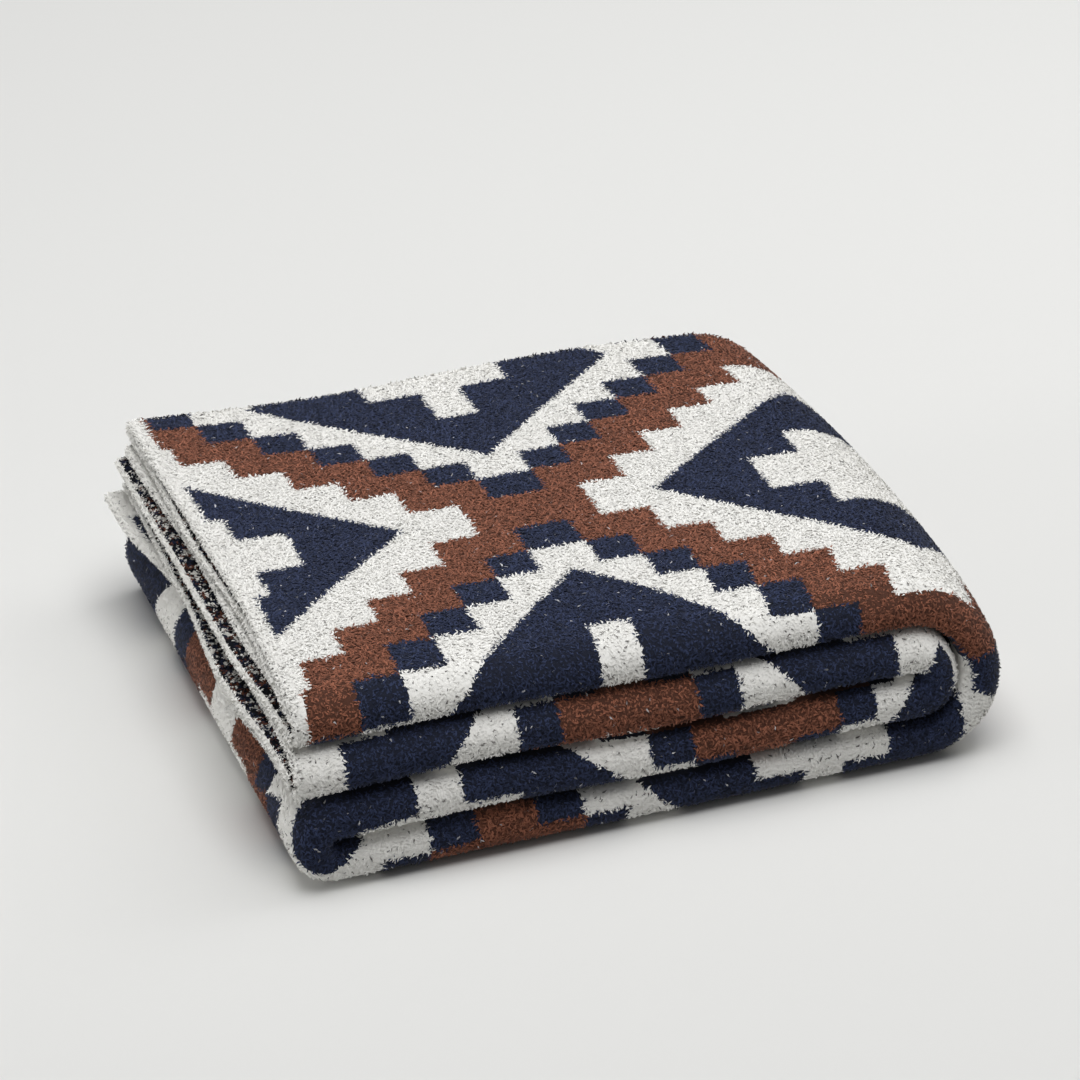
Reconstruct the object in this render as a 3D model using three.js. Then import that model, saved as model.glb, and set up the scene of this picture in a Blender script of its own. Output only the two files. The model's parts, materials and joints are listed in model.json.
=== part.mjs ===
import * as THREE from 'three';

// A knitted throw, folded, in millimetres with +Z up.
// One flat cloth is folded in four across its width, which makes a strip of four layers,
// and the strip is folded in four along its length, which makes sixteen layers.
// X runs along the stack and Y across it. The open ends of the cloth are at -X, the
// round wraps at +X, and the four rolled long edges face -Y. The origin is the middle of
// the underside.

// Sizes of the cloth as it lies.
const CLOTH_THICKNESS = 4.8;
const LAYER_PITCH = 5.8;
const STACK_LENGTH = 374;
const STRIP_DEPTH = 322;

// The strip's four layers, measured from its middle plane.
const OUTER_LAYER = 1.5 * LAYER_PITCH;
const INNER_LAYER = 0.5 * LAYER_PITCH;
const STRIP_PITCH = 4 * LAYER_PITCH;
const STRIP_HALF = OUTER_LAYER + CLOTH_THICKNESS / 2;
const STACK_HEIGHT = 4 * STRIP_PITCH;

// Turns of the strip, measured on its middle plane.
const WRAP_RADIUS = 1.5 * STRIP_PITCH;
const FOLD_RADIUS = 0.5 * STRIP_PITCH;
const WRAP_CENTRE_X = STACK_LENGTH - WRAP_RADIUS - STRIP_HALF;
const FOLD_CENTRE_X = FOLD_RADIUS + STRIP_HALF;
const TOP_END_X = 7;
const LOWER_END_X = 1;
const CLOSED_FOLD_REACH = 1.5;

// The strip's section, where its front turns and its back fold lie.
const FRONT_CENTRE_Y = STRIP_HALF;
const BACK_CENTRE_Y = STRIP_DEPTH - INNER_LAYER - CLOTH_THICKNESS / 2;
const FRONT_ZONE = 60;
const BACK_ZONE = BACK_CENTRE_Y - FRONT_CENTRE_Y - FRONT_ZONE;

// How the stack has settled.
const FRONT_LEAN = 33;
const BACK_LEAN = 20;
const FRONT_INSET = 11;
const FRONT_TURN = 7;
const LOWER_FRONT_TURN = 6;
const BACK_WAVE = 5;
const FRONT_DROOP = 3.5;
const CROWN = 2.5;
const WRAP_BULGE = 12;
const WRAP_BULGE_Y = 165;
const WRAP_BULGE_REACH = 190;
const ROLL_WAVE = 1.4;
const ROLL_WAVELENGTH = 190;

// Where each layer of the strip ends at the left, at four places from front to back: in
// the top section, which ends at TOP_END_X, and in the second, which ends at LOWER_END_X.
const END_PLACES = { front: 5, near: 100, far: 190, back: 290 };
const END_REACH = 60;
const TOP_ENDS = {
  'outer lower': { front: 7, near: 1, far: 1, back: 0 },
  'outer upper': { front: 9, near: 13, far: 12, back: 10 },
  'inner upper': { front: 8, near: 12, far: 9, back: 10 },
  'inner lower': { front: 12, near: 9, far: 10, back: 6 },
};
const SECOND_ENDS = {
  'outer lower': { front: 5, near: 5, far: 5, back: 7 },
  'outer upper': { front: 4, near: 2, far: 6, back: 0 },
  'inner upper': { front: 3, near: -4, far: 4, back: -8 },
  'inner lower': { front: 1, near: -5, far: 0, back: 2 },
};

// Route of the cloth across its width, from the open edge of the outer lower layer.
// A flat has a layer and a length, and a turn has a radius and a sweep in degrees.
const ACROSS_ROUTE = [
  { layer: 'outer lower', length: BACK_ZONE, steps: 4 },
  { layer: 'outer lower', length: FRONT_ZONE, steps: 3 },
  { turn: 'outer front turn', radius: OUTER_LAYER, sweep: -180, steps: 6 },
  { layer: 'outer upper', length: FRONT_ZONE, steps: 3 },
  { layer: 'outer upper', length: BACK_ZONE, steps: 4 },
  { turn: 'back fold', radius: INNER_LAYER, sweep: -180, steps: 5 },
  { layer: 'inner upper', length: BACK_ZONE, steps: 4 },
  { layer: 'inner upper', length: FRONT_ZONE, steps: 3 },
  { turn: 'inner front turn', radius: INNER_LAYER, sweep: 180, steps: 4 },
  { layer: 'inner lower', length: FRONT_ZONE, steps: 3 },
  { layer: 'inner lower', length: BACK_ZONE, steps: 4 },
];

// Route of the strip along its length, from the open end on top of the stack.
const SECTION_RUN = WRAP_CENTRE_X - FOLD_CENTRE_X;
const ALONG_ROUTE = [
  { part: 'top section, open end', length: FOLD_CENTRE_X - TOP_END_X, steps: 1 },
  { part: 'top section', length: SECTION_RUN, steps: 6 },
  { part: 'outer wrap', radius: WRAP_RADIUS, sweep: -180, steps: 9 },
  { part: 'bottom section', length: SECTION_RUN + CLOSED_FOLD_REACH, steps: 6 },
  { part: 'closed fold', radius: FOLD_RADIUS, sweep: -180, steps: 7 },
  { part: 'third section', length: SECTION_RUN + CLOSED_FOLD_REACH, steps: 6 },
  { part: 'inner wrap', radius: FOLD_RADIUS, sweep: 180, steps: 7 },
  { part: 'second section', length: SECTION_RUN, steps: 6 },
  { part: 'second section, open end', length: FOLD_CENTRE_X - LOWER_END_X, steps: 1 },
];

const ACROSS_START = {
  run: FRONT_CENTRE_Y + FRONT_ZONE + BACK_ZONE,
  rise: -OUTER_LAYER,
  heading: Math.PI,
};
const ALONG_START = {
  run: TOP_END_X,
  rise: 3.5 * STRIP_PITCH,
  heading: 0,
};

function radians(degrees) {
  return degrees * Math.PI / 180;
}

function smoothstep(low, high, value) {
  const share = Math.min(1, Math.max(0, (value - low) / (high - low)));
  return share * share * (3 - 2 * share);
}

// Walks a route in its own plane and returns a station at each step, with its place, its
// heading, the row it lies in and how far along that row it is.
function walk(route, start) {
  let { run, rise, heading } = start;
  const stations = [{ run, rise, heading, row: 0, share: 0 }];
  route.forEach((part, row) => {
    for (let step = 1; step <= part.steps; step += 1) {
      if (part.radius === undefined) {
        run += Math.cos(heading) * part.length / part.steps;
        rise += Math.sin(heading) * part.length / part.steps;
      } else {
        const bend = part.radius * Math.sign(part.sweep);
        const next = heading + radians(part.sweep) / part.steps;
        run += bend * (Math.sin(next) - Math.sin(heading));
        rise += bend * (Math.cos(heading) - Math.cos(next));
        heading = next;
      }
      stations.push({ run, rise, heading, row, share: step / part.steps });
    }
  });
  return stations;
}

// Where one layer ends at the left, at a given depth.
function layerEnd(ends, depth) {
  const places = Object.keys(END_PLACES);
  let x = ends[places[0]];
  for (let index = 1; index < places.length; index += 1) {
    const [before, after] = [places[index - 1], places[index]];
    const share = smoothstep(END_PLACES[before], END_PLACES[after], depth);
    x += share * (ends[after] - ends[before]);
  }
  return x;
}

// Where the cloth ends at the left at one station across it, carried smoothly round turns.
function clothEnd(table, station) {
  const { layer } = ACROSS_ROUTE[station.row];
  if (layer !== undefined) {
    return layerEnd(table[layer], station.run);
  }
  const before = layerEnd(table[ACROSS_ROUTE[station.row - 1].layer], station.run);
  const after = layerEnd(table[ACROSS_ROUTE[station.row + 1].layer], station.run);
  return THREE.MathUtils.lerp(before, after, smoothstep(0, 1, station.share));
}

// Moves a point of the evenly folded stack to where it has settled. Heights change least
// near the underside, which stays flat.
function settle(point) {
  const lengthShare = point.x / STACK_LENGTH;
  const frontness = 1 - smoothstep(0, STRIP_DEPTH, point.y);
  const edgeness = 1 - smoothstep(0, 45, point.y);
  const heightShare = point.z / STACK_HEIGHT;
  const middle = Math.sin(Math.PI * Math.min(1, Math.max(0, heightShare)));

  const lowness = 1 - heightShare * heightShare;
  const lean = lowness * THREE.MathUtils.lerp(BACK_LEAN, FRONT_LEAN, frontness);
  const turn = (FRONT_TURN + LOWER_FRONT_TURN * (1 - heightShare)) * lengthShare;
  const inset = (FRONT_INSET + turn) * frontness;
  const backWave = BACK_WAVE * Math.sin(2 * Math.PI * (point.x - 182) / 306) * (1 - frontness);

  const bulgeShare = 1 - ((point.y - WRAP_BULGE_Y) / WRAP_BULGE_REACH) ** 2;
  const bulge = WRAP_BULGE * bulgeShare * smoothstep(STACK_LENGTH / 2, STACK_LENGTH, point.x);

  const wavePhase = 2 * Math.PI * (point.x - 55) / ROLL_WAVELENGTH;
  const crown = CROWN * Math.sin(Math.PI * lengthShare) * Math.sin(Math.PI * point.y / STRIP_DEPTH);
  const rise = crown * heightShare - FRONT_DROOP * edgeness * heightShare
    + ROLL_WAVE * Math.sin(wavePhase) * middle * edgeness;

  return new THREE.Vector3(
    point.x + bulge,
    point.y - lean + inset + backWave * heightShare,
    point.z + rise,
  );
}

// A point of the cloth at one station of each route, on one of its two faces.
function clothPoint(along, across, side) {
  const half = side * CLOTH_THICKNESS / 2;
  const depth = across.run - Math.sin(across.heading) * half;
  const offset = across.rise + Math.cos(across.heading) * half;
  let x = along.run - Math.sin(along.heading) * offset;
  const z = along.rise + Math.cos(along.heading) * offset;
  const nearness = 1 - smoothstep(0, END_REACH, along.run);
  if (along.row <= 1) {
    x += (clothEnd(TOP_ENDS, across) - TOP_END_X) * nearness;
  } else if (along.row >= ALONG_ROUTE.length - 2) {
    x += (clothEnd(SECOND_ENDS, across) - LOWER_END_X) * nearness;
  }
  return settle(new THREE.Vector3(x, depth, z));
}

// Closed mesh of the cloth: both faces, and the four narrow edges between them.
function clothGeometry() {
  const alongStations = walk(ALONG_ROUTE, ALONG_START);
  const acrossStations = walk(ACROSS_ROUTE, ACROSS_START);
  const rows = alongStations.length;
  const columns = acrossStations.length;
  const positions = [];
  for (const side of [1, -1]) {
    for (const along of alongStations) {
      for (const across of acrossStations) {
        positions.push(...clothPoint(along, across, side).toArray());
      }
    }
  }
  const face = (row, column) => row * columns + column;
  const back = (row, column) => (rows + row) * columns + column;
  const indices = [];
  const quad = (a, b, c, d) => indices.push(a, b, c, a, c, d);
  for (let row = 0; row < rows - 1; row += 1) {
    for (let column = 0; column < columns - 1; column += 1) {
      quad(face(row, column), face(row + 1, column), face(row + 1, column + 1), face(row, column + 1));
      quad(back(row, column), back(row, column + 1), back(row + 1, column + 1), back(row + 1, column));
    }
  }
  for (let row = 0; row < rows - 1; row += 1) {
    const last = columns - 1;
    quad(face(row, 0), back(row, 0), back(row + 1, 0), face(row + 1, 0));
    quad(face(row, last), face(row + 1, last), back(row + 1, last), back(row, last));
  }
  for (let column = 0; column < columns - 1; column += 1) {
    const last = rows - 1;
    quad(face(0, column), face(0, column + 1), back(0, column + 1), back(0, column));
    quad(face(last, column), back(last, column), back(last, column + 1), face(last, column + 1));
  }
  const geometry = new THREE.BufferGeometry();
  geometry.setAttribute('position', new THREE.Float32BufferAttribute(positions, 3));
  geometry.setIndex(indices);
  return geometry;
}

// Puts the origin at the middle of the underside.
function centreOnUnderside(geometry) {
  geometry.computeBoundingBox();
  const centre = geometry.boundingBox.getCenter(new THREE.Vector3());
  geometry.translate(-centre.x, -centre.y, -geometry.boundingBox.min.z);
  geometry.computeVertexNormals();
  return geometry;
}

const knit = new THREE.MeshStandardMaterial({ color: 0x39405a, roughness: 0.95, metalness: 0 });
const throwCloth = new THREE.Mesh(centreOnUnderside(clothGeometry()), knit);
throwCloth.name = 'folded_throw';

const part = new THREE.Group();
part.add(throwCloth);

export default part;
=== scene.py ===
# %% [markdown]
# # A folded knitted throw
# The object is one thick knitted cloth, folded in four across its width and then in four
# along its length, so sixteen layers lie in a low stack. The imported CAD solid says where
# the stack is and how big it is. The cloth, its pattern and its curly pile are made here
# around that frame.

# %% Load the frame
import json
import math

import bmesh
import bpy
import numpy as np
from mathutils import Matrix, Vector
from mathutils.bvhtree import BVHTree

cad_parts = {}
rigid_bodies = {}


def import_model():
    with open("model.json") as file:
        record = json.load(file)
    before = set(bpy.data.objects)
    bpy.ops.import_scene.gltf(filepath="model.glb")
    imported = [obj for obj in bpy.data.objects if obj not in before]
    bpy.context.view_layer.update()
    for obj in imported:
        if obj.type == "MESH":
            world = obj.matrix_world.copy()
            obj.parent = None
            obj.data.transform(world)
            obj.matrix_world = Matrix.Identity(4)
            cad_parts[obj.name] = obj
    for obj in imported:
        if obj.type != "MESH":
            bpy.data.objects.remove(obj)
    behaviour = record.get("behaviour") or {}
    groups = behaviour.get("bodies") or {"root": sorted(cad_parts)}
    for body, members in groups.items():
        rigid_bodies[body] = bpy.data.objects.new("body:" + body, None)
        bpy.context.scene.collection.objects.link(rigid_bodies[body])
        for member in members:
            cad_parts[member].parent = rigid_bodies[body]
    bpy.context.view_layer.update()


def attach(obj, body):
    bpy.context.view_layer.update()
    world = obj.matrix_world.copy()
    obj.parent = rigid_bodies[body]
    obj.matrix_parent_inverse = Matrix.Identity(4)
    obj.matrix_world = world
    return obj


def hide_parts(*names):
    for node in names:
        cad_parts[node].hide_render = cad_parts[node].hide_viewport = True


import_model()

# %% [markdown]
# ## How the cloth is folded
# A folded cloth is easiest to make the way a person folds it. A flat grid stands for the
# cloth, and each of its points is carried along two routes. The first route is the section
# across the width: back to front, round the front turn, to the back fold, forward again,
# round the inner turn and back. The second route is the stack's own section along its
# length: the top layer of the stack, the big wrap on the right, the bottom, the closed fold
# low on the left, then in and out again inside. The routes are short tables of flats and
# turns, and every length is in millimetres.

# %% Sizes of the cloth and of its folds
PITCH = 5.8
STACK_LENGTH = 374
STRIP_DEPTH = 322
CLOTH_THICKNESS = 4.8
BASE_THICKNESS = 3.0

OUTER_LAYER = 1.5 * PITCH
INNER_LAYER = 0.5 * PITCH
STRIP_PITCH = 4 * PITCH
STRIP_HALF = OUTER_LAYER + CLOTH_THICKNESS / 2
STACK_HEIGHT = 4 * STRIP_PITCH
WRAP_RADIUS = 1.5 * STRIP_PITCH
FOLD_RADIUS = 0.5 * STRIP_PITCH
WRAP_X = STACK_LENGTH - WRAP_RADIUS - STRIP_HALF
FOLD_X = FOLD_RADIUS + STRIP_HALF
TOP_END_X = 7
LOWER_END_X = 1
CLOSED_FOLD_REACH = 1.5
FRONT_Y = STRIP_HALF
BACK_Y = STRIP_DEPTH - INNER_LAYER - CLOTH_THICKNESS / 2
FLAT = BACK_Y - FRONT_Y
RUN = WRAP_X - FOLD_X

# Each row is a flat of some length, or a turn with a radius and a sweep in degrees, and
# says how many lines of the grid it gets.
ACROSS = [
    {"name": "outer lower", "length": FLAT, "lines": 24},
    {"name": "front turn", "radius": OUTER_LAYER, "sweep": -180, "lines": 12},
    {"name": "outer upper", "length": FLAT, "lines": 24},
    {"name": "back fold", "radius": INNER_LAYER, "sweep": -180, "lines": 6},
    {"name": "inner upper", "length": FLAT, "lines": 24},
    {"name": "inner turn", "radius": INNER_LAYER, "sweep": 180, "lines": 6},
    {"name": "inner lower", "length": FLAT, "lines": 24},
]
ALONG = [
    {"name": "top end", "length": FOLD_X - TOP_END_X, "lines": 3},
    {"name": "top", "length": RUN, "lines": 24},
    {"name": "outer wrap", "radius": WRAP_RADIUS, "sweep": -180, "lines": 20},
    {"name": "bottom", "length": RUN + CLOSED_FOLD_REACH, "lines": 24},
    {"name": "closed fold", "radius": FOLD_RADIUS, "sweep": -180, "lines": 14},
    {"name": "third", "length": RUN + CLOSED_FOLD_REACH, "lines": 24},
    {"name": "inner wrap", "radius": FOLD_RADIUS, "sweep": 180, "lines": 14},
    {"name": "second", "length": RUN, "lines": 24},
    {"name": "second end", "length": FOLD_X - LOWER_END_X, "lines": 3},
]
ACROSS_START = (FRONT_Y + FLAT, -OUTER_LAYER, math.pi)
ALONG_START = (TOP_END_X, 3.5 * STRIP_PITCH, 0.0)

# How far the evenly folded stack settles. A wave starts at a distance from the left end.
# The depth of the roll and the middle of the bulge are measured from the front.
LEAN = 20
LEAN_MORE_AT_FRONT = 13
INSET = 11
INSET_MORE_AT_RIGHT = 7
INSET_MORE_LOW_AT_RIGHT = 6
BACK_WAVE = {"height": 5, "start": 182, "length": 306}
ROLL_WAVE = {"height": 1.4, "start": 55, "length": 190}
ROLL_DEPTH = 45
ROLL_DROP = 3.5
WRAP_BULGE = {"reach": 12, "middle": 165, "half": 190}
CROWN = 2.5

# Where each layer of the strip ends at the left, at four depths from front to back, in the
# top section and in the second one. The ends don't lie flush: some layers stand proud.
END_DEPTHS = (5, 100, 190, 290)
END_REACH = 60
TOP_ENDS = {
    "outer lower": (7, 1, 1, 0),
    "outer upper": (9, 13, 12, 10),
    "inner upper": (8, 12, 9, 10),
    "inner lower": (12, 9, 10, 6),
}
SECOND_ENDS = {
    "outer lower": (5, 5, 5, 7),
    "outer upper": (4, 2, 6, 0),
    "inner upper": (3, -4, 4, -8),
    "inner lower": (1, -5, 0, 2),
}


def row_length(row):
    """Length of the cloth in one row of a route, in millimetres."""
    if "length" in row:
        return row["length"]
    return row["radius"] * math.radians(abs(row["sweep"]))


def grid_lines(route):
    """Where the grid's lines lie along a route: far apart on flats, close on turns."""
    lines = [0.0]
    for row in route:
        step = row_length(row) / row["lines"]
        lines += [lines[-1] + step * (count + 1) for count in range(row["lines"])]
    return np.array(lines)


LINES_U = grid_lines(ALONG)
LINES_V = grid_lines(ACROSS)
PATH_LENGTH = LINES_U[-1]
CLOTH_WIDTH = LINES_V[-1]
print(f"cloth {CLOTH_WIDTH:.0f} mm by {PATH_LENGTH:.0f} mm, grid {len(LINES_U)} by {len(LINES_V)}")

# %% [markdown]
# ## From flat cloth to folded cloth
# One function walks a route to any distance along it, and returns where the cloth is,
# which way it runs and which row it is in. A second one lets the stack settle: the lower
# layers stand forward of the upper ones, the rolled front edges wave a little, and the
# wraps on the right swell. The same two functions place the cloth and, later, every tuft
# of its pile, so the pile can't drift off the cloth.

# %% Walk a route and let the stack settle
def smoothstep(low, high, value):
    share = np.clip((value - low) / (high - low), 0, 1)
    return share * share * (3 - 2 * share)


def walk(route, start, distance):
    """Place, rise, heading, row and share of the row at each distance along a route."""
    run, rise, heading = start
    out_run, out_rise, out_heading, share = (np.zeros_like(distance) for _ in range(4))
    row_index = np.zeros(distance.shape, int)
    done = 0.0
    for index, row in enumerate(route):
        length = row_length(row)
        here = distance >= done
        ahead = distance[here] - done
        if "length" in row:
            out_run[here] = run + math.cos(heading) * ahead
            out_rise[here] = rise + math.sin(heading) * ahead
            out_heading[here] = heading
            run += math.cos(heading) * length
            rise += math.sin(heading) * length
        else:
            bend = math.copysign(row["radius"], row["sweep"])
            turned = heading + ahead / bend
            out_run[here] = run + bend * (np.sin(turned) - math.sin(heading))
            out_rise[here] = rise + bend * (math.cos(heading) - np.cos(turned))
            out_heading[here] = turned
            after = heading + math.radians(row["sweep"])
            run += bend * (math.sin(after) - math.sin(heading))
            rise += bend * (math.cos(heading) - math.cos(after))
            heading = after
        row_index[here] = index
        share[here] = ahead / length
        done += length
    return out_run, out_rise, out_heading, row_index, share


def layer_end(ends, depth):
    """Where one layer ends at the left, at each depth."""
    x = np.full_like(depth, ends[0])
    for place in range(len(END_DEPTHS) - 1):
        share = smoothstep(END_DEPTHS[place], END_DEPTHS[place + 1], depth)
        x = x + share * (ends[place + 1] - ends[place])
    return x


def cloth_end(table, rows, share, depth):
    """The same for any point across the cloth, carried smoothly round the turns."""
    x = np.zeros_like(depth)
    for index, row in enumerate(ACROSS):
        here = rows == index
        if "length" in row:
            x[here] = layer_end(table[row["name"]], depth[here])
        else:
            before = layer_end(table[ACROSS[index - 1]["name"]], depth[here])
            after = layer_end(table[ACROSS[index + 1]["name"]], depth[here])
            x[here] = before + (after - before) * smoothstep(0, 1, share[here])
    return x


def wave(x, shape):
    """A wave along the stack."""
    return shape["height"] * np.sin(2 * np.pi * (x - shape["start"]) / shape["length"])


def settle(x, y, z):
    """Moves points of the evenly folded stack to where they have settled."""
    length_share = x / STACK_LENGTH
    height = z / STACK_HEIGHT
    front = 1 - smoothstep(0, STRIP_DEPTH, y)
    edge = 1 - smoothstep(0, ROLL_DEPTH, y)
    lean = (1 - height * height) * (LEAN + LEAN_MORE_AT_FRONT * front)
    inset_at_right = INSET_MORE_AT_RIGHT + INSET_MORE_LOW_AT_RIGHT * (1 - height)
    inset = (INSET + inset_at_right * length_share) * front
    back_wave = wave(x, BACK_WAVE) * (1 - front) * height
    from_middle = (y - WRAP_BULGE["middle"]) / WRAP_BULGE["half"]
    toward_right = smoothstep(STACK_LENGTH / 2, STACK_LENGTH, x)
    bulge = WRAP_BULGE["reach"] * (1 - from_middle ** 2) * toward_right
    crown = CROWN * np.sin(np.pi * length_share) * np.sin(np.pi * y / STRIP_DEPTH)
    roll_wave = wave(x, ROLL_WAVE) * edge
    rise = (crown - ROLL_DROP * edge) * height + roll_wave * np.sin(np.pi * np.clip(height, 0, 1))
    return x + bulge, y - lean + inset + back_wave, z + rise


def fold(u, v, offset=0.0):
    """Folded place, in metres, of cloth points that are offset mm off its middle."""
    across_run, across_rise, across_heading, across_row, across_share = walk(ACROSS, ACROSS_START, v)
    along_run, along_rise, along_heading, along_row, _ = walk(ALONG, ALONG_START, u)
    depth = across_run - np.sin(across_heading) * offset
    height = across_rise + np.cos(across_heading) * offset
    x = along_run - np.sin(along_heading) * height
    z = along_rise + np.cos(along_heading) * height
    nearness = 1 - smoothstep(0, END_REACH, along_run)
    top_end = cloth_end(TOP_ENDS, across_row, across_share, across_run) - TOP_END_X
    second_end = cloth_end(SECOND_ENDS, across_row, across_share, across_run) - LOWER_END_X
    x = x + np.where(along_row <= 1, top_end * nearness, 0)
    x = x + np.where(along_row >= len(ALONG) - 2, second_end * nearness, 0)
    placed = np.stack(settle(x, depth, z), axis=-1)
    return (placed - STACK_ORIGIN) / 1000


# The CAD's origin is the middle of the underside, so the same point is taken off here.
STACK_ORIGIN = np.array([0.0, 0.0, 0.0])
probe_u, probe_v = (part.ravel() for part in np.meshgrid(LINES_U, LINES_V, indexing="ij"))
faces = np.concatenate([fold(probe_u, probe_v, side * CLOTH_THICKNESS / 2) for side in (1, -1)])
low, high = faces.min(0) * 1000, faces.max(0) * 1000
STACK_ORIGIN = np.array([(low[0] + high[0]) / 2, (low[1] + high[1]) / 2, low[2]])
print("stack from here, mm:", np.round(high - low, 1), "origin at", np.round(STACK_ORIGIN, 1))

# %% [markdown]
# ## Where the knit lies on its path
# The layers underneath hold a little more knit than their smooth path, in gathers too
# small to model one by one, and they lie a little askew. So the knit's own length runs
# ahead of the path, most near the wraps, and the knit drifts sideways from one section to
# the next. Two short tables say by how much, and the second one's turn column is the knit
# gathered in the front turn. The top's front edge is sheared a little, and the closed fold
# holds some knit too. The pattern is measured in the knit's own millimetres, and the UV map
# holds the same places in metres.

# %% Knit millimetres from path millimetres
GATHERS = [
    {"path": 0, "ahead": 0},
    {"path": 60, "ahead": -2},
    {"path": 150, "ahead": -1},
    {"path": 263, "ahead": 7},
    {"path": 350, "ahead": 11},
    {"path": 400, "ahead": 24},
    {"path": 446, "ahead": 33},
    {"path": 520, "ahead": 47},
    {"path": 620, "ahead": 52},
    {"path": 726, "ahead": 50},
    {"path": 752, "ahead": 51},
    {"path": 837, "ahead": 54},
    {"path": 939, "ahead": 57},
    {"path": 980, "ahead": 60},
    {"path": 1050, "ahead": 61},
    {"path": 1112, "ahead": 115},
    {"path": 1212, "ahead": 137},
    {"path": 1328, "ahead": 148},
    {"path": PATH_LENGTH, "ahead": 162},
]
DRIFTS = [
    {"path": 60, "aside": -8, "turn": 4},
    {"path": 170, "aside": -4, "turn": 4},
    {"path": 263, "aside": 0, "turn": 6},
    {"path": 321, "aside": 0, "turn": 6},
    {"path": 430, "aside": -16, "turn": 4},
    {"path": 620, "aside": -14, "turn": 4},
    {"path": 726, "aside": -18, "turn": 4},
    {"path": 790, "aside": -7, "turn": 11},
    {"path": 1087, "aside": -7, "turn": 11},
    {"path": 1123, "aside": -2, "turn": 4},
]
LINES_TO_TURN, LINES_IN_TURN = ACROSS[0]["lines"], ACROSS[1]["lines"]
TURN_START = LINES_V[LINES_TO_TURN]
TURN_END = LINES_V[LINES_TO_TURN + LINES_IN_TURN]
EDGE_HOLD = 200
SHEAR = 6
SHEAR_DEPTH = 90
SHEAR_STARTS, SHEAR_FULL = 120, 263
SHEAR_FADES, SHEAR_ENDS = 331, 446
FOLD_PATH = 755
FOLD_NEAR, FOLD_FAR = 10, 65
FOLD_DEPTH = 90
FOLD_AHEAD = 13
FOLD_ASIDE = 15
FOLD_ASIDE_AT_TURN = 5
KNIT_LENGTH = PATH_LENGTH + GATHERS[-1]["ahead"]


def knit_place(u, v):
    """Where a point of the path lies in the knit's own millimetres."""
    path, ahead = ([row[column] for row in GATHERS] for column in ("path", "ahead"))
    drift_path, aside, turn = ([row[name] for row in DRIFTS] for name in ("path", "aside", "turn"))
    inward = smoothstep(0, EDGE_HOLD, v) * (1 - smoothstep(CLOTH_WIDTH - EDGE_HOLD, CLOTH_WIDTH, v))
    before_turn = 1 - smoothstep(TURN_START, TURN_END, v)
    drift = np.interp(u, drift_path, aside) - np.interp(u, drift_path, turn) * before_turn
    at_front = 1 - smoothstep(0, SHEAR_DEPTH, np.abs(v - TURN_START))
    in_shear = smoothstep(SHEAR_STARTS, SHEAR_FULL, u) - smoothstep(SHEAR_FADES, SHEAR_ENDS, u)
    sheared = at_front * in_shear
    at_fold = 1 - smoothstep(FOLD_NEAR, FOLD_FAR, np.abs(u - FOLD_PATH))
    deep = smoothstep(TURN_END, TURN_END + FOLD_DEPTH, v)
    knit_u = u + np.interp(u, path, ahead) + SHEAR * sheared + FOLD_AHEAD * at_fold * deep
    return knit_u, v + drift * inward + at_fold * (FOLD_ASIDE_AT_TURN + FOLD_ASIDE * deep)


print(f"knit {CLOTH_WIDTH:.0f} mm by {KNIT_LENGTH:.0f} mm")

# %% [markdown]
# ## The stepped pattern
# The cloth is a jacquard knit: off-white ground, navy diamonds, and rust steps that cross
# in an X. It is charted by rule, not drawn. Everything mirrors about the X centres, so the
# material measures how far a point is from the nearest centre along and across the cloth,
# finds which band of stitches it lies in, and compares. All sizes are millimetres of
# cloth.

# %% A helper for nodes, and one for colours
def linear(hex_colour):
    """sRGB hex to the linear colour that a shader takes."""
    channels = [int(hex_colour[place:place + 2], 16) / 255 for place in (1, 3, 5)]
    return [c / 12.92 if c <= 0.04045 else ((c + 0.055) / 1.055) ** 2.4 for c in channels] + [1]


def add_node(tree, kind, settings=None, inputs=None):
    """Adds one node, sets its properties, and fills or links its inputs."""
    made = tree.nodes.new(kind)
    for name, value in (settings or {}).items():
        setattr(made, name, value)
    for name, value in (inputs or {}).items():
        if isinstance(value, bpy.types.NodeSocket):
            tree.links.new(value, made.inputs[name])
        else:
            made.inputs[name].default_value = value
    return made


def maths(tree, operation, *values):
    """One Math node, and its result."""
    inputs = dict(enumerate(values))
    return add_node(tree, "ShaderNodeMath", {"operation": operation}, inputs).outputs[0]


# %% The chart of the pattern
REPEAT_ALONG = 355
REPEAT_ACROSS = 338
CENTRE_ALONG = 170
CENTRE_ACROSS = 121
CELL = 24.3
BAND = 22.7
FIRST_BAND = 18.5
SECOND_BAND = 43.8
BORDER = 6
STEPS_START = 16.4
RUST_WIDTH = 45
RUST_IN_MIDDLE = 35
SLOPE = 1.07
LONG_DIAMOND_TIP = -74
STEM_HALF, STEM_FROM = 12.2, 122.5
BAR_HALF, BAR_FROM = 42.3, 157.5
SIDE_DIAMOND_TIP = 106.7
NOTCH, INNER_NOTCH = 49.7, 22.2
print(f"the pattern repeats every {REPEAT_ALONG} mm along and {REPEAT_ACROSS} mm across")


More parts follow.
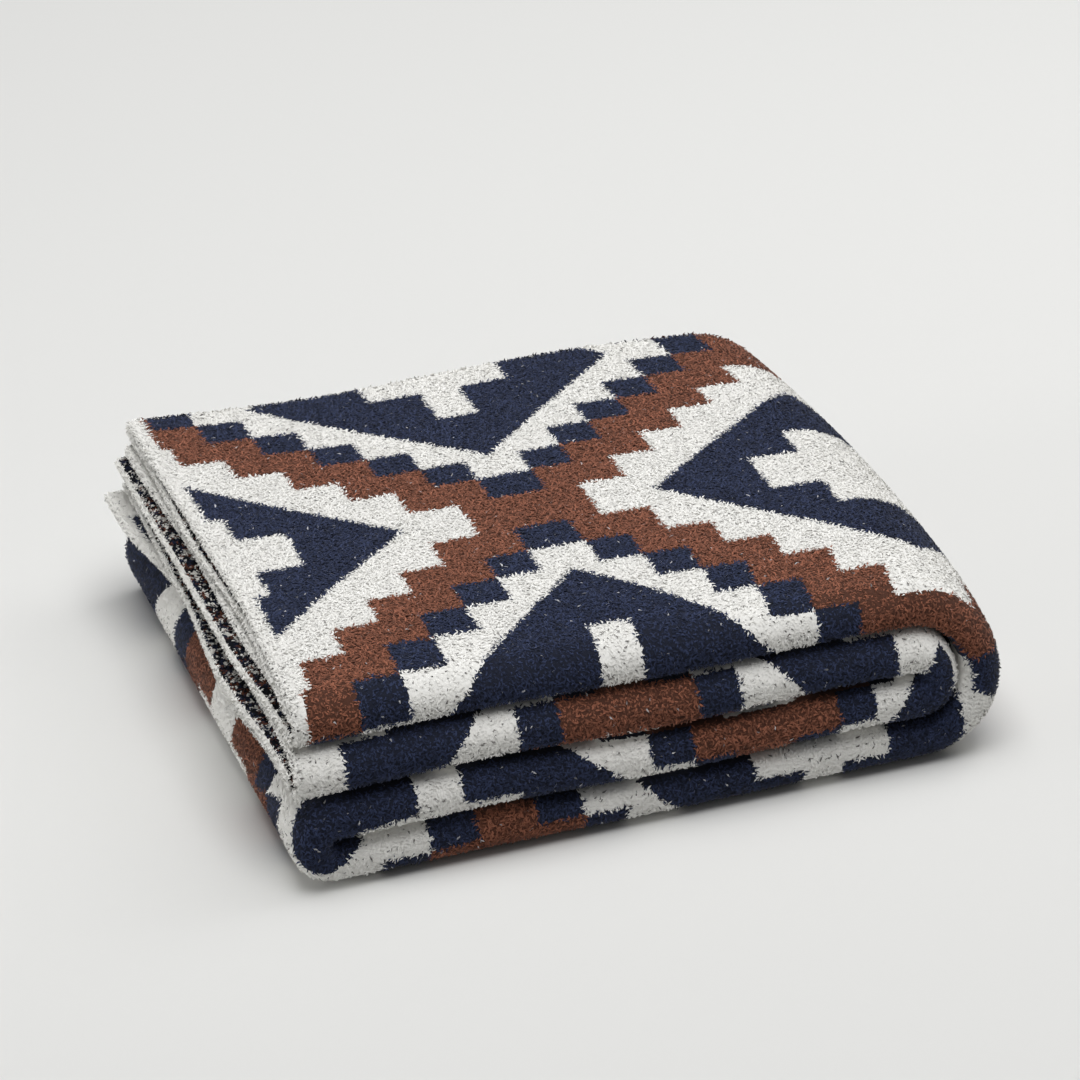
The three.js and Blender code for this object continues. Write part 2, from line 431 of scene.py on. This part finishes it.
def pattern_masks(tree, u, v, u_plain, v_plain):
    """Masks, 0 or 1, for the navy and the rust of the pattern, from cloth millimetres."""
    def fold_back(value, centre, repeat):
        moved = maths(tree, "SUBTRACT", value, centre)
        return maths(tree, "PINGPONG", moved, repeat / 2)

    def below(value, limit):
        return maths(tree, "LESS_THAN", value, limit)

    def both(first, second):
        return maths(tree, "MULTIPLY", first, second)

    def either(first, second):
        return maths(tree, "MAXIMUM", first, second)

    def without(first, second):
        return both(first, maths(tree, "SUBTRACT", 1, second))

    along = fold_back(u, CENTRE_ALONG, REPEAT_ALONG)
    across = fold_back(v, CENTRE_ACROSS, REPEAT_ACROSS)

    bands_up = maths(tree, "DIVIDE", maths(tree, "SUBTRACT", across, SECOND_BAND), BAND)
    band = maths(tree, "MAXIMUM", maths(tree, "FLOOR", bands_up), -1)
    start = maths(tree, "MULTIPLY_ADD", band, CELL, STEPS_START)
    past = maths(tree, "SUBTRACT", along, start)
    in_middle = below(across, FIRST_BAND)
    navy_step = both(below(0, past), below(past, CELL))
    navy_step = without(navy_step, in_middle)
    rust_step = both(below(CELL, past), below(past, CELL + RUST_WIDTH))
    rust_step = without(rust_step, in_middle)
    rust_step = either(rust_step, both(in_middle, below(along, RUST_IN_MIDDLE)))

    peak = maths(tree, "MULTIPLY_ADD", across, SLOPE, LONG_DIAMOND_TIP)
    long_diamond = below(along, peak)
    stem = both(below(along, STEM_HALF), below(STEM_FROM, across))
    bar = both(below(along, BAR_HALF), below(BAR_FROM, across))
    long_diamond = without(long_diamond, either(stem, bar))

    side = maths(tree, "SUBTRACT", REPEAT_ALONG / 2, along)
    flank = maths(tree, "MULTIPLY_ADD", across, -SLOPE, SIDE_DIAMOND_TIP)
    side_diamond = below(side, flank)
    notch = both(below(across, FIRST_BAND), below(side, NOTCH))
    inner_notch = both(below(across, SECOND_BAND), below(side, INNER_NOTCH))
    side_diamond = without(side_diamond, either(notch, inner_notch))

    navy = either(navy_step, either(long_diamond, side_diamond))
    rust = without(rust_step, either(long_diamond, side_diamond))

    edge_u = maths(tree, "MINIMUM", u_plain, maths(tree, "SUBTRACT", KNIT_LENGTH, u_plain))
    edge_v = maths(tree, "MINIMUM", v_plain, maths(tree, "SUBTRACT", CLOTH_WIDTH, v_plain))
    inside = below(BORDER, maths(tree, "MINIMUM", edge_u, edge_v))
    return both(navy, inside), both(rust, inside)


# %% [markdown]
# ## The yarn
# The yarn looks like a polyester chenille, brushed to a short curl: very matt, with a soft
# glow at grazing angles, which Principled calls sheen. Colour changes a little from tuft to
# tuft, and a few stray fibres of another colour show through. The coloured yarns get a much
# wider range of tone than the off-white: partly real colour, partly painted light and shade
# of the curls, lit on one side and dark in the gaps. Round the front turn the off-white gets
# more dark flecks. The pile gets one value a tuft because every corner of a tuft has the same
# UV.

# %% Material of the patterned face
OFF_WHITE = "#f9f8f4"
NAVY = "#2d3652"
RUST = "#8f5a45"
WHITE_FLECK = "#c4c4c6"
DARK_FLECK = "#3c3534"

# The noises, as features in a millimetre: the colours' edges wander every 2.2 mm or so, and
# the bumps of the yarn are 1.7 mm wide. Noise seldom strays more than a quarter from its
# middle, so the wander is scaled up.
WANDER_PER_MM = 0.45
WANDER_GAIN = 4
YARN_PER_MM = 0.6

# Flecks, as multiples of a material's own share of them, in the off-white at a front turn
# and in the coloured yarns. The extra dark flecks make the off-white darker round the front
# turn. Away from the turn's middle the off-white has its own share, and the two distances
# say in millimetres where the change starts and ends.
FLECKS_AT_TURN = 4.5
FLECKS_IN_COLOUR = 0.35
NEAR_TURN, FAR_FROM_TURN = 12, 40
TURN_MIDDLE = float(TURN_START + TURN_END) / 2


def knit_material(name, ragged, fleck_share, bump_height, tones_and_shade):
    """The patterned knit. ragged is how far, in mm, the colours' edges wander, and the last
    argument gives the darkest and lightest tone of the off-white, then of the coloured yarns;
    in the coloured yarns that range holds painted shade as well as real colour."""
    material = bpy.data.materials.new(name)
    material.use_nodes = True
    tree = material.node_tree
    tree.nodes.clear()
    uv_map = add_node(tree, "ShaderNodeUVMap", {"uv_map": "cloth"})
    in_mm = add_node(tree, "ShaderNodeVectorMath", {"operation": "SCALE"},
                     {0: uv_map.outputs[0], "Scale": 1000})
    wander = add_node(tree, "ShaderNodeTexNoise", {"noise_dimensions": "2D"},
                      {"Vector": in_mm.outputs[0], "Scale": WANDER_PER_MM, "Detail": 1})
    centred = add_node(tree, "ShaderNodeVectorMath", {"operation": "SUBTRACT"},
                       {0: wander.outputs["Color"], 1: (0.5, 0.5, 0.5)})
    pushed = add_node(tree, "ShaderNodeVectorMath", {"operation": "SCALE"},
                      {0: centred.outputs[0], "Scale": ragged * WANDER_GAIN})
    moved = add_node(tree, "ShaderNodeVectorMath", {"operation": "ADD"},
                     {0: in_mm.outputs[0], 1: pushed.outputs[0]})
    place = add_node(tree, "ShaderNodeSeparateXYZ", None, {0: moved.outputs[0]})
    plain = add_node(tree, "ShaderNodeSeparateXYZ", None, {0: in_mm.outputs[0]})
    navy, rust = pattern_masks(tree, place.outputs[0], place.outputs[1],
                               plain.outputs[0], plain.outputs[1])

    grain = add_node(tree, "ShaderNodeTexWhiteNoise", {"noise_dimensions": "2D"},
                     {"Vector": in_mm.outputs[0]})
    chance = add_node(tree, "ShaderNodeSeparateColor", None, {0: grain.outputs["Color"]})
    coloured = maths(tree, "MAXIMUM", navy, rust)
    white_low, white_high, dark_low, dark_high = tones_and_shade
    white_tone = maths(tree, "MULTIPLY_ADD", chance.outputs[0], white_high - white_low, white_low)
    # The coloured yarns' range of tone is partly real colour and partly painted light and shade of the
    # curls.
    colour_tone_and_shade = maths(tree, "MULTIPLY_ADD", chance.outputs[0], dark_high - dark_low, dark_low)
    tone = add_node(tree, "ShaderNodeMix", {"data_type": "FLOAT"},
                    {"Factor": coloured, "A": white_tone, "B": colour_tone_and_shade}).outputs[0]
    with_rust = add_node(tree, "ShaderNodeMix", {"data_type": "RGBA"},
                         {"Factor": rust, "A": linear(OFF_WHITE), "B": linear(RUST)})
    with_navy = add_node(tree, "ShaderNodeMix", {"data_type": "RGBA"},
                         {"Factor": navy, "A": with_rust.outputs[2], "B": linear(NAVY)})
    fleck = add_node(tree, "ShaderNodeMix", {"data_type": "RGBA"},
                     {"Factor": coloured, "A": linear(DARK_FLECK), "B": linear(WHITE_FLECK)})
    from_turn = maths(tree, "ABSOLUTE", maths(tree, "SUBTRACT", plain.outputs[1], TURN_MIDDLE))
    # More dark flecks go on the off-white round the front turn, so it reads darker there.
    rarity = add_node(tree, "ShaderNodeMapRange", None,
                      {"Value": from_turn, "From Min": NEAR_TURN, "From Max": FAR_FROM_TURN,
                       "To Min": 1 - FLECKS_AT_TURN * fleck_share, "To Max": 1 - fleck_share})
    limit = add_node(tree, "ShaderNodeMix", {"data_type": "FLOAT"},
                     {"Factor": coloured, "A": rarity.outputs[0],
                      "B": 1 - FLECKS_IN_COLOUR * fleck_share})
    is_fleck = maths(tree, "GREATER_THAN", chance.outputs[1], limit.outputs[0])
    with_flecks = add_node(tree, "ShaderNodeMix", {"data_type": "RGBA"},
                           {"Factor": is_fleck, "A": with_navy.outputs[2], "B": fleck.outputs[2]})
    toned = add_node(tree, "ShaderNodeMix", {"data_type": "RGBA", "blend_type": "MULTIPLY"},
                     {"Factor": 1.0, "A": with_flecks.outputs[2], "B": tone})
    yarn = add_node(tree, "ShaderNodeTexNoise", {"noise_dimensions": "2D"},
                    {"Vector": in_mm.outputs[0], "Scale": YARN_PER_MM, "Detail": 2})
    bump = add_node(tree, "ShaderNodeBump", None,
                    {"Strength": 0.6, "Distance": bump_height, "Height": yarn.outputs[0]})
    shader = add_node(tree, "ShaderNodeBsdfPrincipled", None, {
        "Base Color": toned.outputs[2], "Roughness": 0.95, "Sheen Weight": 0.1,
        "Sheen Roughness": 0.6, "Specular IOR Level": 0.15, "Normal": bump.outputs[0]})
    add_node(tree, "ShaderNodeOutputMaterial", None, {"Surface": shader.outputs[0]})
    return material


# The ground under the pile is painted dark in the coloured parts, as painted shade in the gaps between
# the tufts; the off-white ground stays bright. The pile's coloured tufts run from dark to light: partly
# real colour, partly painted light and shade of the curls.
knit_face = knit_material("chenille_knit_ground", ragged=0.8, fleck_share=0.0,
                          bump_height=0.0006, tones_and_shade=(0.98, 1.0, 0.25, 0.35))
knit_pile = knit_material("chenille_knit_pile", ragged=0.25, fleck_share=0.013,
                          bump_height=0.0, tones_and_shade=(0.96, 1.0, 0.2, 1.5))
print("materials:", knit_face.name, knit_pile.name)


# %% Material of the reverse
# Each speck is one float of yarn, about 1.7 mm wide.
SPECKS_PER_METRE = 600


def reverse_material(name):
    """The back of a jacquard knit: floats of every colour, so it reads as dark specks."""
    material = bpy.data.materials.new(name)
    material.use_nodes = True
    tree = material.node_tree
    tree.nodes.clear()
    uv_map = add_node(tree, "ShaderNodeUVMap", {"uv_map": "cloth"})
    speck = add_node(tree, "ShaderNodeTexVoronoi", {"voronoi_dimensions": "2D"},
                     {"Vector": uv_map.outputs[0], "Scale": SPECKS_PER_METRE})
    split = add_node(tree, "ShaderNodeSeparateColor", None, {0: speck.outputs["Color"]})
    ramp = add_node(tree, "ShaderNodeValToRGB", None, {"Fac": split.outputs[0]})
    ramp.color_ramp.interpolation = "CONSTANT"
    stops = [(0.0, "#121319"), (0.42, "#1f2538"), (0.62, "#5d392c"), (0.76, "#dcdad5")]
    ramp.color_ramp.elements[0].color = linear(stops[0][1])
    ramp.color_ramp.elements[1].position = stops[1][0]
    ramp.color_ramp.elements[1].color = linear(stops[1][1])
    for position, colour in stops[2:]:
        ramp.color_ramp.elements.new(position).color = linear(colour)
    bump = add_node(tree, "ShaderNodeBump", None,
                    {"Strength": 0.8, "Distance": 0.001, "Height": speck.outputs["Distance"]})
    shader = add_node(tree, "ShaderNodeBsdfPrincipled", None, {
        "Base Color": ramp.outputs[0], "Roughness": 0.95, "Specular IOR Level": 0.15,
        "Normal": bump.outputs[0]})
    add_node(tree, "ShaderNodeOutputMaterial", None, {"Surface": shader.outputs[0]})
    return material


knit_reverse = reverse_material("chenille_knit_reverse")
print("material:", knit_reverse.name)

# %% [markdown]
# ## The cloth
# The cloth starts as a flat grid. Its lines stand for places on the cloth, closer together
# where it turns, and every point is folded to where its place goes. The UV map holds the
# knit's own place, in metres. A Solidify modifier makes the two faces from the middle
# surface, so the inside of each fold is as thick as the rest, and gives the second face the
# reverse material.

# %% Fold a flat grid
def flat_grid(name, lines_u, lines_v):
    """A flat grid, with the place of each of its points on the two routes."""
    bpy.ops.object.select_all(action="DESELECT")
    bpy.ops.mesh.primitive_grid_add(
        x_subdivisions=len(lines_u) - 1, y_subdivisions=len(lines_v) - 1, size=1, calc_uvs=True
    )
    cloth = bpy.context.active_object
    cloth.name = name
    cloth.data.name = name
    count = len(cloth.data.vertices)
    flat = np.zeros(count * 3)
    cloth.data.vertices.foreach_get("co", flat)
    flat = flat.reshape(-1, 3)
    column = np.rint((flat[:, 0] + 0.5) * (len(lines_u) - 1)).astype(int)
    row = np.rint((flat[:, 1] + 0.5) * (len(lines_v) - 1)).astype(int)
    return cloth, lines_u[column], lines_v[row]


cloth, cloth_u, cloth_v = flat_grid("throw_knit", LINES_U, LINES_V)
folded = fold(cloth_u, cloth_v)
cloth.data.vertices.foreach_set("co", folded.ravel())
corner_vertex = np.zeros(len(cloth.data.loops), int)
cloth.data.loops.foreach_get("vertex_index", corner_vertex)
cloth_uv = np.stack(knit_place(cloth_u, cloth_v), axis=-1)[corner_vertex] / 1000
cloth.data.uv_layers[0].name = "cloth"
cloth.data.uv_layers["cloth"].data.foreach_set("uv", cloth_uv.ravel())
cloth.data.update()
bpy.ops.object.shade_smooth()
cloth.data.materials.append(knit_face)
cloth.data.materials.append(knit_reverse)
print("folded grid:", len(cloth.data.polygons), "faces")

# %% Give the cloth its thickness
solid = cloth.modifiers.new("thickness", "SOLIDIFY")
solid.thickness = BASE_THICKNESS / 1000
solid.offset = 0
solid.use_even_offset = True
solid.material_offset = 1
solid.material_offset_rim = 0
bpy.ops.object.modifier_apply(modifier=solid.name)
print("cloth:", len(cloth.data.polygons), "faces")

# %% [markdown]
# ## Where the cloth lies open
# A brushed chenille has a short curly pile, and it is the pile that makes the ragged edges
# of the colours and of the outline. Bump can't do that, so the pile is real. Most of the
# cloth is shut inside the folds, where pile would only be in the way. A coarse map of each
# face says where it lies open: a ray goes out along the cloth's normal, and a cell of the
# map is open if the ray meets no other layer. The part that lies on the floor isn't open.

# %% Map the open parts of the face and of the reverse
# The step of the map is in the cloth's millimetres. The ray's start and reach, and the
# height under which the cloth counts as near the floor, are in metres.
MAP_STEP = 2.5
RAY_START = 0.0006
REACH = 0.006
NEAR_FLOOR = 0.004
FACING_DOWN = -0.3


def unit(vectors):
    return vectors / np.maximum(np.linalg.norm(vectors, axis=-1, keepdims=True), 1e-12)


def cloth_frame(u, v, side):
    """Place, outward normal and two directions of the cloth, on its face 1 or reverse -1."""
    offset = side * BASE_THICKNESS / 2
    here = fold(u, v, offset)
    to_u = unit(fold(u + 0.5, v, offset) - here)
    to_v = unit(fold(u, v + 0.5, offset) - here)
    normal = unit(np.cross(to_u, to_v))
    away = fold(u, v, offset + side) - here
    normal = np.where((normal * away).sum(-1, keepdims=True) < 0, -normal, normal)
    return here, normal, to_u, to_v


def open_map(side, tree):
    """A map of one face, true where a ray along the normal gets away."""
    cells_u = np.arange(MAP_STEP / 2, PATH_LENGTH, MAP_STEP)
    cells_v = np.arange(MAP_STEP / 2, CLOTH_WIDTH, MAP_STEP)
    u, v = (part.ravel() for part in np.meshgrid(cells_u, cells_v, indexing="ij"))
    place, normal, _, _ = cloth_frame(u, v, side)
    on_floor = (place[:, 2] < NEAR_FLOOR) & (normal[:, 2] < FACING_DOWN)
    clear = np.zeros(len(u), bool)
    for cell in np.flatnonzero(~on_floor):
        outward = Vector(normal[cell])
        start = Vector(place[cell]) + outward * RAY_START
        clear[cell] = tree.ray_cast(start, outward, REACH)[0] is None
    return clear.reshape(len(cells_u), len(cells_v))


cloth_mesh = bmesh.new()
cloth_mesh.from_mesh(cloth.data)
cloth_tree = BVHTree.FromBMesh(cloth_mesh)
cloth_mesh.free()
open_face = open_map(1, cloth_tree)
open_reverse = open_map(-1, cloth_tree)
print(f"open: {open_face.mean():.1%} of the face, {open_reverse.mean():.1%} of the reverse")

# %% [markdown]
# ## The pile
# One tuft of the pile is a small curl of yarn that leans over and lies down. It is made as
# a ribbon with one bend, because there are very many of them. Its shading normals follow
# the cloth, bent a little along the curl, so that the pile takes the light as one soft
# surface and not as chips. The tufts stand on a jittered grid. Where the reverse lies open
# its loops are set the same way, and along the cut edges the tufts fan out over the edge.

# %% Where the tufts stand
TUFT_SPACING = 0.94
LOOP_SPACING = 0.9
EDGE_SPACING = 0.75
EDGE_JITTER = 0.4
EDGE_ROWS = (100, 75, 50, 25, 0, -25, -50)
EDGE_FROM, EDGE_TO = 0.8, 1.2
RIM = 0.6
random = np.random.RandomState(7)


def scattered(high_u, high_v, spacing):
    """Points of a jittered grid over the cloth."""
    u, v = (part.ravel() for part in np.meshgrid(
        np.arange(0, high_u, spacing), np.arange(0, high_v, spacing), indexing="ij"))
    u = u + random.uniform(0, spacing, len(u))
    v = v + random.uniform(0, spacing, len(v))
    return np.clip(u, 0, high_u), np.clip(v, 0, high_v)


def open_points(u, v, clear):
    """The points whose cell of the map is open."""
    cell_u = np.minimum((u / MAP_STEP).astype(int), clear.shape[0] - 1)
    cell_v = np.minimum((v / MAP_STEP).astype(int), clear.shape[1] - 1)
    keep = clear[cell_u, cell_v]
    return u[keep], v[keep]


def on_surface(side, spacing):
    """Tufts of one face of the cloth, wherever it lies open."""
    clear = open_face if side > 0 else open_reverse
    u, v = open_points(*scattered(PATH_LENGTH - RIM, CLOTH_WIDTH - RIM, spacing), clear)
    place, normal, to_u, to_v = cloth_frame(u, v, side)
    return {"u": u, "v": v, "place": place, "normal": normal, "to_u": to_u, "to_v": to_v}


def on_edge(along_length, at_end):
    """Tufts round one cut edge, in rows from the face, over the edge, to the reverse."""
    length, limit = (PATH_LENGTH, CLOTH_WIDTH) if along_length else (CLOTH_WIDTH, PATH_LENGTH)
    rows = []
    for degrees in EDGE_ROWS:
        run = np.arange(EDGE_FROM, length - EDGE_TO, EDGE_SPACING)
        run = run + random.uniform(-EDGE_JITTER, EDGE_JITTER, len(run))
        edge = np.full_like(run, limit - RIM if at_end else 0.0)
        u, v = (run, edge) if along_length else (edge, run)
        _, normal, to_u, to_v = cloth_frame(u, v, 1)
        outward = (to_v if along_length else to_u) * (1 if at_end else -1)
        turned = math.radians(degrees)
        leaning = unit(outward * math.cos(turned) + normal * math.sin(turned))
        deep = fold(u, v) + leaning * BASE_THICKNESS / 2000
        across = to_u if along_length else to_v
        rows.append({"u": u, "v": v, "place": deep, "normal": leaning,
                     "to_u": across, "to_v": unit(np.cross(leaning, across))})
    return {name: np.concatenate([row[name] for row in rows]) for name in rows[0]}


face_tufts = on_surface(1, TUFT_SPACING)
reverse_tufts = on_surface(-1, LOOP_SPACING)
end_tufts = [on_edge(False, False), on_edge(False, True), on_edge(True, False), on_edge(True, True)]
edge_tufts = {name: np.concatenate([end[name] for end in end_tufts]) for name in end_tufts[0]}
print("tufts:", len(face_tufts["u"]), "on the face,", len(reverse_tufts["u"]),
      "on the reverse,", len(edge_tufts["u"]), "on the edges")

# %% Model the tufts
LARGEST_PIECE = 60000
FACE_TUFT = {"length": 2.8, "width": 0.76, "lift": 0.42}
EDGE_TUFT = {"length": 2.4, "width": 0.85, "lift": 0.5}
REVERSE_LOOP = {"length": 1.8, "width": 0.9, "lift": 0.6}
SIZE_RANGE = (0.75, 1.25)
LIFT_RANGE = (0.4, 1.6)
LARGEST_SWING = 0.7
ROOT_WIDTH_SHARE = 0.8
TIP_LIFT_SHARE = 0.15
NORMAL_BENDS = (0.3, 0.3, 0.05, 0.05, -0.2)


def tuft_piece(name, tufts, material, length, width, lift):
    """One mesh with all the given tufts. Each is a ribbon with one bend and a point, made of
    five vertices and three triangles."""
    count = len(tufts["u"])
    scale = random.uniform(*SIZE_RANGE, (count, 1)) / 1000
    lift = lift * random.uniform(*LIFT_RANGE, (count, 1))
    turn = random.uniform(0, 2 * np.pi, (count, 1))
    up = tufts["normal"]
    along = unit(np.cos(turn) * tufts["to_u"] + np.sin(turn) * tufts["to_v"])
    aside = unit(np.cross(up, along))
    swing = random.uniform(-LARGEST_SWING, LARGEST_SWING, (count, 1))
    root = tufts["place"]
    knee = root + unit(up * lift + along) * length * 0.5 * scale
    tip = knee + unit(along + aside * swing + up * lift * TIP_LIFT_SHARE) * length * 0.5 * scale
    half = aside * width / 2 * scale
    foot = half * ROOT_WIDTH_SHARE
    corners = np.stack([root - foot, root + foot, knee - half, knee + half, tip], axis=1)
    normals = np.stack([unit(up - along * bend) for bend in NORMAL_BENDS], axis=1)
    shape = np.array([(0, 3, 1), (0, 2, 3), (2, 4, 3)])
    triangles = (shape[None] + 5 * np.arange(count)[:, None, None]).reshape(-1, 3)
    mesh = bpy.data.meshes.new(name)
    mesh.vertices.add(count * 5)
    mesh.vertices.foreach_set("co", corners.ravel())
    mesh.loops.add(triangles.size)
    mesh.loops.foreach_set("vertex_index", triangles.ravel())
    mesh.polygons.add(len(triangles))
    mesh.polygons.foreach_set("loop_start", np.arange(len(triangles)) * 3)
    mesh.update(calc_edges=True)
    uv = np.stack(knit_place(tufts["u"], tufts["v"]), axis=-1) / 1000
    uv_layer = mesh.uv_layers.new(name="cloth")
    uv_layer.data.foreach_set("uv", np.repeat(uv, 9, axis=0).ravel())
    mesh.shade_smooth()
    mesh.normals_split_custom_set_from_vertices(normals.reshape(-1, 3))
    piece = bpy.data.objects.new(name, mesh)
    bpy.context.collection.objects.link(piece)
    mesh.materials.append(material)
    return piece


piles = []
order = np.argsort(face_tufts["place"][:, 1], kind="stable")
for number, chosen in enumerate(np.array_split(order, math.ceil(len(order) / LARGEST_PIECE))):
    part = {name: values[chosen] for name, values in face_tufts.items()}
    piles.append(tuft_piece(f"pile_{number + 1}", part, knit_pile, **FACE_TUFT))
piles.append(tuft_piece("pile_on_edges", edge_tufts, knit_pile, **EDGE_TUFT))
piles.append(tuft_piece("loops_of_reverse", reverse_tufts, knit_reverse, **REVERSE_LOOP))
print("pile pieces:", len(piles), "with", sum(len(p.data.polygons) for p in piles), "triangles")

# %% [markdown]
# ## Join the pieces to the frame
# The cloth and its pile ride on the only body, and the cloth stands for the CAD solid. The
# flat size is that of a common throw, 50 by 60 inches, which the photograph can't confirm.

# %% Ride on the frame
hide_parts("folded_throw")
for piece in [cloth] + piles:
    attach(piece, "root")
print("on the root body:", [cloth.name] + [piece.name for piece in piles])

# %% [markdown]
# ## Floor, light and camera
# The photograph is a plain studio picture: a pale floor that fills the view, a very large
# soft light overhead, a weaker one high on the right, a low fill on the left, and a soft
# shadow to the left.

# %% Floor
PAPER = "#e2e2e0"
FLOOR_SIZE = 30
FLOOR_DROP = 0.0002
bpy.ops.object.select_all(action="DESELECT")
bpy.ops.mesh.primitive_plane_add(size=FLOOR_SIZE, location=(0, 0, -FLOOR_DROP))
floor = bpy.context.active_object
floor.name = "studio_floor"
paper = bpy.data.materials.new("studio_paper")
paper.use_nodes = True
paper_shader = paper.node_tree.nodes["Principled BSDF"]
paper_shader.inputs["Base Color"].default_value = linear(PAPER)
paper_shader.inputs["Roughness"].default_value = 0.9
floor.data.materials.append(paper)
print("floor:", floor.name, "with", paper.name)


# %% Lights
MIDDLE = (0, 0, 0.05)
LEFT_PART = (-0.2, 0, 0.05)
SKY = "#f2f2f2"
SKY_STRENGTH = 0.18


def soft_box(name, place, aim, size, power, spread=180):
    """A square area light that looks at a point. spread, in degrees, is its beam's width."""
    bpy.ops.object.light_add(type="AREA", location=place)
    lamp = bpy.context.active_object
    lamp.name = name
    lamp.data.size = size
    lamp.data.energy = power
    lamp.data.spread = math.radians(spread)
    lamp.rotation_euler = (Vector(aim) - Vector(place)).to_track_quat("-Z", "Y").to_euler()
    return lamp


lamps = [
    soft_box("overhead", place=(0.1, 0.3, 3.5), aim=MIDDLE, size=3.0, power=112),
    soft_box("key_light", place=(1.5, 0.6, 1.7), aim=MIDDLE, size=1.2, power=10),
    soft_box("fill_light", place=(-2.4, 0.1, 0.45), aim=LEFT_PART, size=0.5, power=0.7, spread=40),
]
world = bpy.data.worlds.new("studio")
world.use_nodes = True
background = world.node_tree.nodes["Background"]
background.inputs["Color"].default_value = linear(SKY)
background.inputs["Strength"].default_value = SKY_STRENGTH
bpy.context.scene.world = world
bpy.context.scene.view_settings.view_transform = "Standard"
print("lights, W:", {lamp.name: round(lamp.data.energy, 2) for lamp in lamps})

# %% Camera
# Its place is in the route's millimetres. It looks to the right of the stack's depth, and
# down, by these angles in degrees. The lens and the sensor are in millimetres.
CAMERA_PLACE = np.array([-456.3, -1646.5, 1110.8])
CAMERA_AZIMUTH = 19.58
CAMERA_DOWN = 28.53
LENS = 140
SENSOR = 36
bpy.ops.object.camera_add(location=(CAMERA_PLACE - STACK_ORIGIN) / 1000)
camera = bpy.context.active_object
camera.data.sensor_width = SENSOR
camera.data.lens = LENS
azimuth, down = math.radians(CAMERA_AZIMUTH), math.radians(CAMERA_DOWN)
look = Vector((math.sin(azimuth) * math.cos(down), math.cos(azimuth) * math.cos(down), -math.sin(down)))
camera.rotation_euler = look.to_track_quat("-Z", "Y").to_euler()
bpy.context.scene.camera = camera
print("camera at, m:", [round(value, 3) for value in camera.location])
